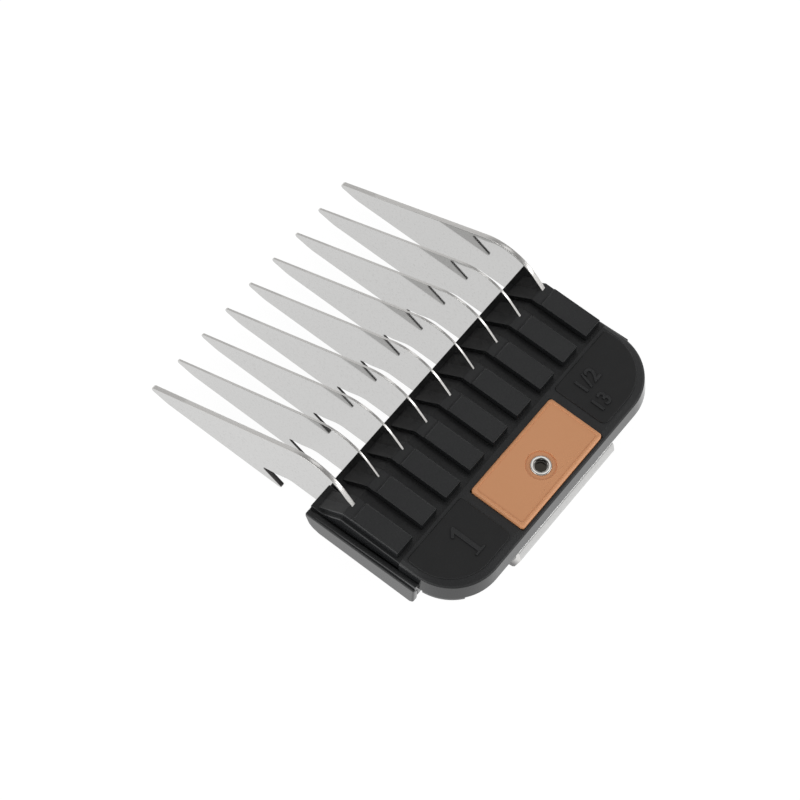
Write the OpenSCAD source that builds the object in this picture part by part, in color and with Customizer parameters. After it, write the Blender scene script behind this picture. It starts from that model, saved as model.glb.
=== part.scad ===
// Clipper guard comb that snaps onto a detachable clipper blade.
// Millimetres. +X along the row of teeth, -Y towards the tooth tips, +Z towards the skin.
// The teeth rest on z = 0, and the origin is the middle of the footprint.

/* [Teeth] */
// Distance from one tooth to the next
tooth_pitch = 5.5; // [5.2:0.1:5.6]
// Thickness of the sheet the seven inner teeth are stamped from
tooth_thickness = 0.35; // [0.3:0.05:0.6]
// Thickness of the sheet of the two stiffer end teeth
end_tooth_thickness = 0.75; // [0.6:0.05:0.9]
// Height of the crown over the surface the teeth lie on
crown_height = 16.1; // [14.5:0.05:18]
// Radius of the crown that rides on the skin
crown_radius = 7.5; // [6.5:0.1:8]
// How far the tips reach in front of the crown
tip_reach = 29.65; // [26:0.05:32]
// Sideways step of the whole row of teeth from the middle of the body
row_shift = -0.5; // [-0.5:0.05:0.5]

/* [Body] */
// Half the distance between the two side rails, the room for a blade
rail_inner_half = 24.4; // [24.3:0.05:24.8]
// Thickness of a side rail
rail_wall = 1.1; // [0.9:0.1:1.5]
// Height of the face the blade lies against
seat_height = 5.05; // [4.8:0.05:5.2]
// Height of the ribs that hold the teeth
pad_height = 11.85; // [11.5:0.05:12.5]
// Height of the flat rear deck
deck_height = 10.95; // [10.7:0.05:11.2]
// Width of one tooth rib
pad_width = 3.45; // [3.1:0.05:3.8]

/* [Tag and screw] */
// Length of the coloured size tag
tag_length = 18.8; // [16:0.1:20]
// How far the tag stands over the rear deck
tag_proud = 0.5; // [0.2:0.05:0.8]
// Radius of the recess for the screw head
counterbore_r = 2.28; // [2:0.02:2.6]
// Radius of the screw head
head_r = 1.6; // [1.4:0.05:1.9]

/* [Latch] */
// Width of the sliding latch plate
latch_width = 22.4; // [18:0.2:23]
// Thickness of the latch sheet
latch_sheet = 0.8; // [0.6:0.05:0.8]
// How far the latch slides to the rear
latch_travel = 2.6; // [1.5:0.1:2.6]

/* [Hidden] */
tooth_count = 9;
black = [0.13, 0.135, 0.14];
copper = [0.74, 0.52, 0.36];
steel = [0.74, 0.74, 0.72];
spring_steel = [0.62, 0.62, 0.6];
through = 1;
touch_gap = 0.02;

// Tooth outline, from the tip to the tail
nose_r = 0.55;
nose_y = nose_r - tip_reach;
nose_z = 1.2;
crown_y = 0.45;
crown_z = crown_height - crown_radius;
crown_run = norm([crown_y - nose_y, crown_z - nose_z]);
rise_angle = atan2(crown_z - nose_z, crown_y - nose_y) + asin((crown_radius - nose_r) / crown_run);
fall_angle = 48;
tail_top = 10.9;
tail_bottom = 8.8;
tail_end = 16.2;
neck_lift = 5.9;
neck_back = 6.2;
notch_y = -8.35;
notch_z = 2.55;
barb_y = -5.15;
anchor_hole_r = 0.7;
anchor_hole_y = 12.6;
anchor_hole_z = (tail_top + tail_bottom) / 2;

// Body levels and lines
front_y = 2.05;
front_top = 7.65;
groove_floor = 10.35;
ceiling = 7.45;
ramp_start = 3.05;
pad_start = 7.7;
pad_end = 17.3;
panel_start = 18.05;
cross_rib_end = 6.8;
deck_half = 24.2;
pad_offset = 0.5;
pad_step = 0.25;
rail_half = rail_inner_half + rail_wall;
rail_end = 21.7;
rail_foot = 3.55;
ledge_inner = 21.2;
gutter_floor = 7;
rail_lip = 0.3;
skirt_depth = 0.6;
skirt_start = 22.4;
skirt_inner = 21.4;
skirt_wall = 1.2;
foot_half = 24.5;
foot_rear = 29.4;
foot_r = 8;
wall_half = 24.4;
wall_rear = 29.2;
wall_z = 9.7;
shoulder_half = 24.2;
shoulder_rear = 28.8;
shoulder_z = 10.4;
shoulder_r = 7.9;
panel_half = 23.65;
panel_rear = 28.05;
panel_r = 7.4;
slab = 0.02;

// Tag and its recess
tag_front = 19.1;
tag_rear = 28.45;
tag_floor = 9.6;
tag_gap = 0.1;
tag_corner = 0.7;
tag_edge = 0.3;
screw_y = 24.5;
head_seat = 10.4;
head_top = 11.3;
shank_r = 1;
shank_end = 5.7;
clear_hole_r = 1.1;
socket_r = 1.05;
socket_floor = 10.65;
nut_bottom = 5.6;
nut_shoulder = 6.35;
nut_flange_r = 3.2;
nut_neck_r = 1.9;
nut_bore_r = shank_r + touch_gap;

// Latch and spring
latch_half = latch_width / 2;
plate_top = 7.25;
plate_bottom = plate_top - latch_sheet;
plate_front = 8.2;
bend_y = 28.7;
bend_r = 1;
bend_lean = 14;
slot_half = 2;
slot_front = 21.8;
slot_rear = screw_y + 0.1;
window_half = 1.9;
window_front = 9.5;
window_rear = 17.9;
post_half = 1.4;
post_front = 16;
post_rear = 17.4;
post_foot = 5.9;
spring_z = (plate_top + plate_bottom) / 2;
spring_r = 1.2;
spring_wire = 0.35;
trough_r = 1.45;
guide_r = 0.6;
guide_length = 1.4;
tongue_half = 0.45;
tongue_tip = 10.9;

// Points on an arc about [cy, cz]
function arc(cy, cz, r, from, to, steps) =
  [for (i = [0:steps]) [cy + r * cos(from + (to - from) * i / steps), cz + r * sin(from + (to - from) * i / steps)]];

function half_sheet(i) = (i == 1 || i == tooth_count ? end_tooth_thickness : tooth_thickness) / 2;

// Centre of rib i, and of tooth i: the end teeth are thickened outwards
function rib_x(i) = row_shift + pad_offset + tooth_pitch * ((tooth_count + 1) / 2 - i);

function outward(i) = i == 1 ? 1 : i == tooth_count ? -1 : 0;

function tooth_x(i) = rib_x(i) - pad_offset + outward(i) * (end_tooth_thickness - tooth_thickness) / 2;

// Draws a y-z outline and gives it a width about x
module across(x, half) {
  translate([x - half, 0, 0])
    rotate([90, 0, 90])
      linear_extrude(height = 2 * half)
        children();
}

module box(low, high) {
  translate(low)
    cube(high - low);
}

module tooth_outline() {
  fall_y = crown_y + crown_radius * sin(fall_angle);
  fall_z = crown_z + crown_radius * cos(fall_angle);
  root_y = fall_y + (fall_z - tail_top) / tan(fall_angle);
  polygon(concat(
    [[-26.4, 0], [-27.3, 0.16], [nose_y + 0.6, 0.5]],
    arc(nose_y, nose_z, nose_r, 262, 90 + rise_angle, 8),
    arc(crown_y, crown_z, crown_radius, 90 + rise_angle, 90 - fall_angle, 20),
    [[root_y, tail_top], [tail_end, tail_top], [tail_end, tail_bottom]],
    [[neck_back, tail_bottom], [neck_back, neck_lift], [front_y + 0.4, neck_lift]],
    [[front_y + 0.4, seat_height], [-3.1, seat_height], [-4.2, 4.72], [-6.3, 3.55]],
    arc(notch_y + 0.3, notch_z, 0.3, 120, 235, 4),
    [[barb_y, 0.5], [barb_y + 0.02, 0.28], [barb_y - 0.12, 0.08], [barb_y - 0.35, 0]]
  ));
}

module tooth(i) {
  color(steel)
    difference() {
      across(tooth_x(i), half_sheet(i))
        tooth_outline();
      translate([tooth_x(i), anchor_hole_y, anchor_hole_z])
        rotate([0, 90, 0])
          cylinder(r = anchor_hole_r, h = through, center = true, $fn = 32);
    }
}

// The pocket that the plastic leaves round a tooth, with its anchor pin standing in the middle
module tooth_pocket(i) {
  difference() {
    across(tooth_x(i), half_sheet(i) + touch_gap)
      tooth_outline();
    translate([tooth_x(i), anchor_hole_y, anchor_hole_z])
      rotate([0, 90, 0])
        cylinder(r = anchor_hole_r - touch_gap, h = through, center = true, $fn = 32);
  }
}

// Outline of the rear block: round rear corners, square to the front
module rear_outline(half, rear, r) {
  hull() {
    translate([half - r, rear - r])
      circle(r = r, $fn = 64);
    translate([r - half, rear - r])
      circle(r = r, $fn = 64);
    translate([-half, panel_start])
      square([2 * half, 1]);
  }
}

module level(z) {
  translate([0, 0, z])
    linear_extrude(height = slab)
      children();
}

module rear_block() {
  hull() {
    level(ceiling)
      rear_outline(foot_half, foot_rear, foot_r);
    level(wall_z)
      rear_outline(wall_half, wall_rear, foot_r);
    level(shoulder_z)
      rear_outline(shoulder_half, shoulder_rear, shoulder_r);
    level(deck_height - slab)
      rear_outline(panel_half, panel_rear, panel_r);
  }
}

module front_deck() {
  across(0, deck_half)
    polygon([
      [front_y, seat_height], [front_y, front_top], [4.2, front_top], [7.4, groove_floor],
      [panel_start, groove_floor], [panel_start, ceiling], [cross_rib_end, ceiling],
      [cross_rib_end, seat_height]
    ]);
}

// One rib: a ramp, a low front step, then the raised plateau
module pad(i) {
  across(rib_x(i), pad_width / 2)
    polygon([
      [ramp_start, front_top - 0.3], [ramp_start, front_top + 0.1],
      [pad_start - pad_step, pad_height - pad_step], [pad_start + 1.2, pad_height - pad_step],
      [pad_start + 1.4, pad_height], [pad_end, pad_height], [pad_end, groove_floor - 0.1],
      [7.4, groove_floor - 0.1], [4.2, front_top - 0.3]
    ]);
}

module side_rail() {
  lip_half = (rail_wall - rail_lip) / 2;
  across((ledge_inner + rail_inner_half + 0.1) / 2, (rail_inner_half + 0.1 - ledge_inner) / 2)
    polygon([
      [front_y, seat_height], [front_y, gutter_floor], [rail_end, gutter_floor + 0.6],
      [rail_end, seat_height]
    ]);
  across(rail_inner_half + rail_wall / 2, rail_wall / 2)
    polygon([
      [front_y, 7.2], [front_y, 6.4], [2.67, 4.75], [3.4, 4], [4.6, rail_foot],
      [rail_end - 0.5, rail_foot], [rail_end, rail_foot + 0.5], [rail_end, 7.9], [front_y + 1, 7.3]
    ]);
  across(rail_inner_half + lip_half, lip_half)
    polygon([[front_y + 1, 6.5], [front_y + 1, 7.3], [rail_end, 8.9], [rail_end, 7]]);
}

// Low wall under a rear corner
module corner_skirt() {
  outer_r = foot_r - 0.05;
  intersection() {
    translate([foot_half - foot_r, foot_rear - foot_r, ceiling - skirt_depth])
      difference() {
        cylinder(r = outer_r, h = skirt_depth + 0.3, $fn = 96);
        translate([0, 0, -1])
          cylinder(r = outer_r - skirt_wall, h = 3, $fn = 96);
      }
    box([skirt_inner, skirt_start, 0], [foot_half + 1, foot_rear, deck_height]);
  }
}

module latch_post() {
  box([-post_half, post_front, post_foot], [post_half, post_rear, ceiling + 0.1]);
  translate([0, post_front - guide_length, spring_z])
    rotate([-90, 0, 0])
      cylinder(r = guide_r, h = guide_length + 0.1, $fn = 32);
}

module body() {
  color(black)
    difference() {
      union() {
        difference() {
          union() {
            front_deck();
            rear_block();
          }
          // Trough over the spring
          translate([0, window_front - 0.4, spring_z])
            rotate([-90, 0, 0])
              cylinder(r = trough_r, h = post_front - window_front + 0.4, $fn = 40);
        }
        for (i = [1:tooth_count])
          pad(i);
        for (side = [0, 1])
          mirror([side, 0, 0]) {
            side_rail();
            corner_skirt();
          }
        latch_post();
      }
      for (i = [1:tooth_count])
        tooth_pocket(i);
      box([-tag_length / 2 - tag_gap, tag_front - tag_gap, tag_floor],
          [tag_length / 2 + tag_gap, tag_rear + tag_gap, pad_height + through]);
      translate([0, screw_y, ceiling - through])
        cylinder(r = clear_hole_r, h = deck_height, $fn = 40);
    }
}

module size_tag() {
  top = deck_height + tag_proud;
  color(copper)
    difference() {
      union() {
        box([-tag_length / 2, tag_front, tag_floor], [tag_length / 2, tag_rear, top - tag_edge]);
        hull() {
          box([-tag_length / 2, tag_front, top - tag_edge - slab],
              [tag_length / 2, tag_rear, top - tag_edge]);
          box([-tag_length / 2 + tag_edge, tag_front + tag_edge, top - slab],
              [tag_length / 2 - tag_edge, tag_rear - tag_edge, top]);
        }
      }
      translate([0, screw_y, head_seat])
        cylinder(r = counterbore_r, h = through + 1, $fn = 48);
      translate([0, screw_y, tag_floor - through])
        cylinder(r = clear_hole_r, h = 3, $fn = 40);
    }
}

module tag_screw() {
  color(steel)
    difference() {
      translate([0, screw_y, 0]) {
        translate([0, 0, head_seat])
          cylinder(r = head_r, h = head_top - head_seat, $fn = 48);
        translate([0, 0, shank_end])
          cylinder(r = shank_r, h = head_seat - shank_end + slab, $fn = 40);
      }
      translate([0, screw_y, socket_floor])
        cylinder(r = socket_r, h = 1, $fn = 6);
    }
}

module sleeve_nut() {
  color(steel)
    difference() {
      translate([0, screw_y, 0]) {
        translate([0, 0, nut_bottom])
          cylinder(r = nut_flange_r, h = nut_shoulder - nut_bottom, $fn = 48);
        translate([0, 0, nut_shoulder - slab])
          cylinder(r = nut_neck_r, h = ceiling - nut_shoulder + slab, $fn = 48);
      }
      translate([0, screw_y, nut_bottom - 1])
        cylinder(r = nut_bore_r, h = 4, $fn = 40);
    }
}

module latch_flange() {
  across(0, latch_half)
    polygon(concat(
      [[27, plate_bottom], [27, plate_top]],
      arc(bend_y, plate_top - bend_r, bend_r, 90, bend_lean, 8),
      [[29.88, 5.5], [29.93, 5.15], [29.87, 4.8], [29.1, 1.85], [28.75, 1.35], [28.3, 1.2]],
      [[27.5, 1.2], [27.5, 1.95], [28.05, 1.95], [28.35, 2.2], [29.1, 5.1]],
      arc(bend_y, plate_top - bend_r, bend_r - latch_sheet, bend_lean, 90, 3)
    ));
}

module latch_plate() {
  color(steel)
    difference() {
      union() {
        difference() {
          box([-latch_half, plate_front, plate_bottom], [latch_half, 27.2, plate_top]);
          box([-window_half, window_front, plate_bottom - 1], [window_half, window_rear, plate_top + 1]);
        }
        box([-tongue_half, window_front - 0.2, plate_bottom], [tongue_half, tongue_tip, plate_top]);
        latch_flange();
      }
      box([-slot_half, slot_front, plate_bottom - 1], [slot_half, slot_rear, plate_top + 1]);
      for (y = [slot_front, slot_rear])
        translate([0, y, plate_bottom - 1])
          cylinder(r = slot_half, h = 3, $fn = 48);
    }
}

// The coil spring as a plain sleeve: it shortens as the latch is drawn back
module latch_spring() {
  color(spring_steel)
    translate([0, window_front, spring_z])
      rotate([-90, 0, 0])
        difference() {
          cylinder(r = spring_r, h = post_front - window_front, $fn = 40);
          translate([0, 0, -1])
            cylinder(r = spring_r - spring_wire, h = 10, $fn = 40);
        }
}

body();
tooth(1);  // tooth_1
tooth(2);  // tooth_2
tooth(3);  // tooth_3
tooth(4);  // tooth_4
tooth(5);  // tooth_5
tooth(6);  // tooth_6
tooth(7);  // tooth_7
tooth(8);  // tooth_8
tooth(9);  // tooth_9
size_tag();
tag_screw();
sleeve_nut();
latch_plate();
latch_spring();
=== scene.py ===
# %% [markdown]
# # A clipper guard comb
# A guard comb snaps on the blade of a hair clipper and holds it a fixed distance from the skin.
# It is a moulded body with nine steel teeth, a coloured size tag, one screw, and a sprung sheet-metal
# latch that hooks the rear edge of the blade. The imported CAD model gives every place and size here.
# Each piece is modelled in millimetres and brought to metres when it is finished.

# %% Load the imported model
import math

import bmesh
import bpy
from mathutils import Matrix, Vector


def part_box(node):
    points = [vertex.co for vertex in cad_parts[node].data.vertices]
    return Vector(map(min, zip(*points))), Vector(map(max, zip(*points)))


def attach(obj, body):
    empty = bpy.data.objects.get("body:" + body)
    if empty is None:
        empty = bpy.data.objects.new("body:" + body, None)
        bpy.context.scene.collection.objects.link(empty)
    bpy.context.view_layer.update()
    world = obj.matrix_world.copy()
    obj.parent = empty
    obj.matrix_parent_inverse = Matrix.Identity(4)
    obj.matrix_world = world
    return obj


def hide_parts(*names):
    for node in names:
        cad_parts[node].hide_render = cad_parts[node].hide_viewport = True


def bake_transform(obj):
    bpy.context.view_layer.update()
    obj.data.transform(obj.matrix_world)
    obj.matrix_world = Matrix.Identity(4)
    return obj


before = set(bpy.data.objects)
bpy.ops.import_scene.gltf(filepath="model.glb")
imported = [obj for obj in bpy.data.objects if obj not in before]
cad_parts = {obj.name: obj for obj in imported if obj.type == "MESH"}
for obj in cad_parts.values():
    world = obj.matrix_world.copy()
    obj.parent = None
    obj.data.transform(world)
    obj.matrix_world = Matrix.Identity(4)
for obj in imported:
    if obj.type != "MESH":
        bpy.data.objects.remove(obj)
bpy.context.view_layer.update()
MM = 0.001
NEAR = 0.01

# %% [markdown]
# ## Small helpers
# `verts_of` picks the vertices out of what an extrusion made, ready to be moved.
# A sheet-metal or moulded piece often starts as one outline that is carried sideways, so `prism` makes
# that from a few corners and one extrusion. Real edges are never perfectly sharp: `round_edges` bevels
# the ones it is told to, and the light that catches them is most of what makes a part look real.

# %% Outline to solid, and rounded edges
def verts_of(grown):
    return [item for item in grown if isinstance(item, bmesh.types.BMVert)]


def prism(outline, x_low, x_high):
    bm = bmesh.new()
    end = bm.faces.new([bm.verts.new((x_low, y, z)) for y, z in outline])
    grown = bmesh.ops.extrude_face_region(bm, geom=[end])["geom"]
    bmesh.ops.translate(bm, vec=(x_high - x_low, 0, 0), verts=verts_of(grown))
    bmesh.ops.recalc_face_normals(bm, faces=bm.faces)
    return bm


def sharp(edge, degrees=25):
    return len(edge.link_faces) == 2 and edge.calc_face_angle(0) > math.radians(degrees)


def round_edges(bm, edges, width, segments=2):
    bmesh.ops.bevel(bm, geom=list(edges), offset=width, offset_type="OFFSET", segments=segments,
                    profile=0.5, affect="EDGES", clamp_overlap=True, material=-1)


# %% [markdown]
# ## Finishing a piece
# Every piece ends the same way: it is scaled to metres, shaded, given its material, and tied to the CAD
# body that it moves with. `stands_for` names the CAD node it replaces. Shading is smooth, except across
# real corners and where a narrow bevel meets a broad flat face: the flat face has to stay flat to the eye,
# or its reflections bend.

# %% Finish a piece
def broad_beside_narrow(edge):
    areas = [face.calc_area() for face in edge.link_faces]
    return len(areas) == 2 and max(areas) > 12 * min(areas)


def finish_piece(name, bm, material, stands_for=(), body="comb", corner=32):
    for edge in bm.edges:
        edge.smooth = not (sharp(edge, corner) or broad_beside_narrow(edge))
    for face in bm.faces:
        face.smooth = True
    bmesh.ops.scale(bm, vec=(MM, MM, MM), verts=bm.verts)
    mesh = bpy.data.meshes.new(name)
    bm.to_mesh(mesh)
    bm.free()
    mesh.materials.append(material)
    piece = bpy.data.objects.new(name, mesh)
    bpy.context.scene.collection.objects.link(piece)
    if body:
        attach(piece, body)
    if stands_for:
        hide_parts(*stands_for)
    print(f"{name}: {len(mesh.polygons)} faces")
    return piece


def copy_of_node(node):
    bm = bmesh.new()
    bm.from_mesh(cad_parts[node].data)
    bmesh.ops.scale(bm, vec=(1 / MM, 1 / MM, 1 / MM), verts=bm.verts)
    bmesh.ops.remove_doubles(bm, verts=bm.verts, dist=0.002)
    bmesh.ops.dissolve_limit(bm, angle_limit=math.radians(1), verts=bm.verts, edges=bm.edges)
    return bm


# %% [markdown]
# ## Moulded plastic
# The black body and the copper tag come out of the same kind of mould. Flat tops of the mould are
# spark-eroded, so the plastic there has a very fine matt grain, while the walls slide out of the mould
# and stay glossy. One material function serves both, and the smoother, darker rear panels too: the
# direction that a face looks in chooses between the matt grain and the gloss, and slow noise gives the
# slight cloudiness of moulded parts.

# %% Moulded plastic
def moulded_plastic(name, colour, cloud_colour, top_roughness, wall_roughness, grain_height):
    finish = bpy.data.materials.new(name)
    finish.use_nodes = True
    nodes = finish.node_tree.nodes
    links = finish.node_tree.links
    nodes.clear()

    where = nodes.new("ShaderNodeTexCoord")
    where.label = "Place and direction on the comb"
    where.location = (-1500, 0)
    in_mm = nodes.new("ShaderNodeMapping")
    in_mm.label = "Metres to millimetres"
    in_mm.location = (-1300, 0)
    facing = nodes.new("ShaderNodeSeparateXYZ")
    facing.label = "How far a face looks up"
    facing.location = (-1300, -420)
    top_mask = nodes.new("ShaderNodeMapRange")
    top_mask.label = "Flat tops only"
    top_mask.location = (-1100, -420)

    cloud_group = nodes.new("NodeFrame")
    cloud_group.label = "Cloudiness of the moulding"
    clouds = nodes.new("ShaderNodeTexNoise")
    clouds.label = "Slow flow clouds"
    clouds.location = (-1000, 320)
    clouds.parent = cloud_group
    cloud_mix = nodes.new("ShaderNodeMix")
    cloud_mix.label = "Plastic colour"
    cloud_mix.location = (-700, 320)
    cloud_mix.parent = cloud_group

    grain_group = nodes.new("NodeFrame")
    grain_group.label = "Matt grain of the mould"
    grain = nodes.new("ShaderNodeTexNoise")
    grain.label = "Spark-eroded grain"
    grain.location = (-1000, 0)
    grain.parent = grain_group
    grain_on_tops = nodes.new("ShaderNodeMath")
    grain_on_tops.label = "Grain kept to the tops"
    grain_on_tops.location = (-700, 0)
    grain_on_tops.parent = grain_group
    bump = nodes.new("ShaderNodeBump")
    bump.label = "Grain relief"
    bump.location = (-450, -40)
    bump.parent = grain_group

    gloss_group = nodes.new("NodeFrame")
    gloss_group.label = "Matt tops and glossy walls"
    smudges = nodes.new("ShaderNodeTexNoise")
    smudges.label = "Handling smudges"
    smudges.location = (-1000, -640)
    smudges.parent = gloss_group
    smudge_amount = nodes.new("ShaderNodeMapRange")
    smudge_amount.label = "How much smudges dull"
    smudge_amount.location = (-780, -640)
    smudge_amount.parent = gloss_group
    gloss = nodes.new("ShaderNodeMapRange")
    gloss.label = "Wall to top roughness"
    gloss.location = (-780, -380)
    gloss.parent = gloss_group
    roughness = nodes.new("ShaderNodeMath")
    roughness.label = "Roughness with smudges"
    roughness.location = (-450, -400)
    roughness.parent = gloss_group

    plastic = nodes.new("ShaderNodeBsdfPrincipled")
    plastic.label = "Plastic"
    plastic.location = (-150, 100)
    out = nodes.new("ShaderNodeOutputMaterial")
    out.label = "Surface"
    out.location = (150, 100)

    in_mm.inputs["Scale"].default_value = (1000, 1000, 1000)
    top_mask.inputs["From Min"].default_value = 0.3
    top_mask.inputs["From Max"].default_value = 0.75
    clouds.inputs["Scale"].default_value = 0.12
    clouds.inputs["Detail"].default_value = 3
    cloud_mix.data_type = "RGBA"
    cloud_mix.inputs["A"].default_value = (*colour, 1)
    cloud_mix.inputs["B"].default_value = (*cloud_colour, 1)
    grain.inputs["Scale"].default_value = 4.2
    grain.inputs["Detail"].default_value = 3
    grain_on_tops.operation = "MULTIPLY"
    bump.inputs["Strength"].default_value = 1
    bump.inputs["Distance"].default_value = grain_height * MM
    smudges.inputs["Scale"].default_value = 0.7
    smudges.inputs["Detail"].default_value = 4
    smudge_amount.inputs["To Min"].default_value = -0.05
    smudge_amount.inputs["To Max"].default_value = 0.07
    gloss.inputs["To Min"].default_value = wall_roughness
    gloss.inputs["To Max"].default_value = top_roughness
    roughness.operation = "ADD"
    plastic.inputs["IOR"].default_value = 1.52

    links.new(where.outputs["Object"], in_mm.inputs["Vector"])
    links.new(where.outputs["Normal"], facing.inputs["Vector"])
    links.new(facing.outputs["Z"], top_mask.inputs["Value"])
    links.new(in_mm.outputs["Vector"], clouds.inputs["Vector"])
    links.new(clouds.outputs["Fac"], cloud_mix.inputs["Factor"])
    links.new(cloud_mix.outputs["Result"], plastic.inputs["Base Color"])
    links.new(in_mm.outputs["Vector"], grain.inputs["Vector"])
    links.new(grain.outputs["Fac"], grain_on_tops.inputs[0])
    links.new(top_mask.outputs["Result"], grain_on_tops.inputs[1])
    links.new(grain_on_tops.outputs["Value"], bump.inputs["Height"])
    links.new(bump.outputs["Normal"], plastic.inputs["Normal"])
    links.new(in_mm.outputs["Vector"], smudges.inputs["Vector"])
    links.new(smudges.outputs["Fac"], smudge_amount.inputs["Value"])
    links.new(top_mask.outputs["Result"], gloss.inputs["Value"])
    links.new(gloss.outputs["Result"], roughness.inputs[0])
    links.new(smudge_amount.outputs["Result"], roughness.inputs[1])
    links.new(roughness.outputs["Value"], plastic.inputs["Roughness"])
    links.new(plastic.outputs["BSDF"], out.inputs["Surface"])
    return finish


black_plastic = moulded_plastic("black_plastic", (0.0105, 0.011, 0.012), (0.017, 0.0178, 0.0188),
                                top_roughness=0.5, wall_roughness=0.13, grain_height=0.045)
panel_plastic = moulded_plastic("panel_plastic", (0.004, 0.0042, 0.0046), (0.007, 0.0073, 0.0078),
                                top_roughness=0.6, wall_roughness=0.13, grain_height=0.015)
copper_plastic = moulded_plastic("copper_plastic", (0.78, 0.36, 0.165), (0.82, 0.38, 0.18),
                                 top_roughness=0.5, wall_roughness=0.34, grain_height=0.008)
print("plastics made")
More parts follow.
